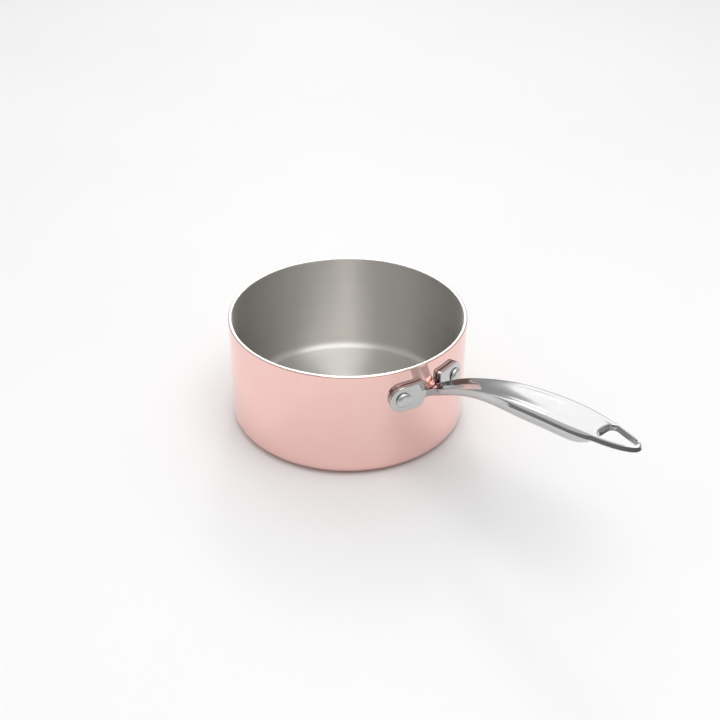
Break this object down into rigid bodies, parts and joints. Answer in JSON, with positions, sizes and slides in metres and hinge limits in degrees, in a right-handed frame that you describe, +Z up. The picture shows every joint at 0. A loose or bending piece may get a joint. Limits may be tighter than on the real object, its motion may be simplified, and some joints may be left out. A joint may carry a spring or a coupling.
{
  "type": "saucepan",
  "caption": "Straight-sided saucepan: polished copper outside, brushed steel lining, and a riveted cast steel handle that arches up to a flat hanging loop.",
  "frame": {"origin": "centre of the base's underside, on the surface that the pan stands on", "axes": "+X along the handle, +Z up along the cup's axis"},
  "size_m": [0.3271, 0.165, 0.1036],
  "materials": {
    "copper": "mirror-polished rose copper",
    "core_aluminium": "cut edge, lightly polished",
    "lining_steel": "brushed round the cup",
    "handle_steel": "cast, mirror-polished",
    "rivet_steel": "satin-polished"
  },
  "bodies": {
    "root": {"copper_skin": "copper", "aluminium_core": "core_aluminium", "steel_lining": "lining_steel", "handle": "handle_steel", "rivet_left": "rivet_steel", "rivet_right": "rivet_steel"}
  },
  "joints": []
}
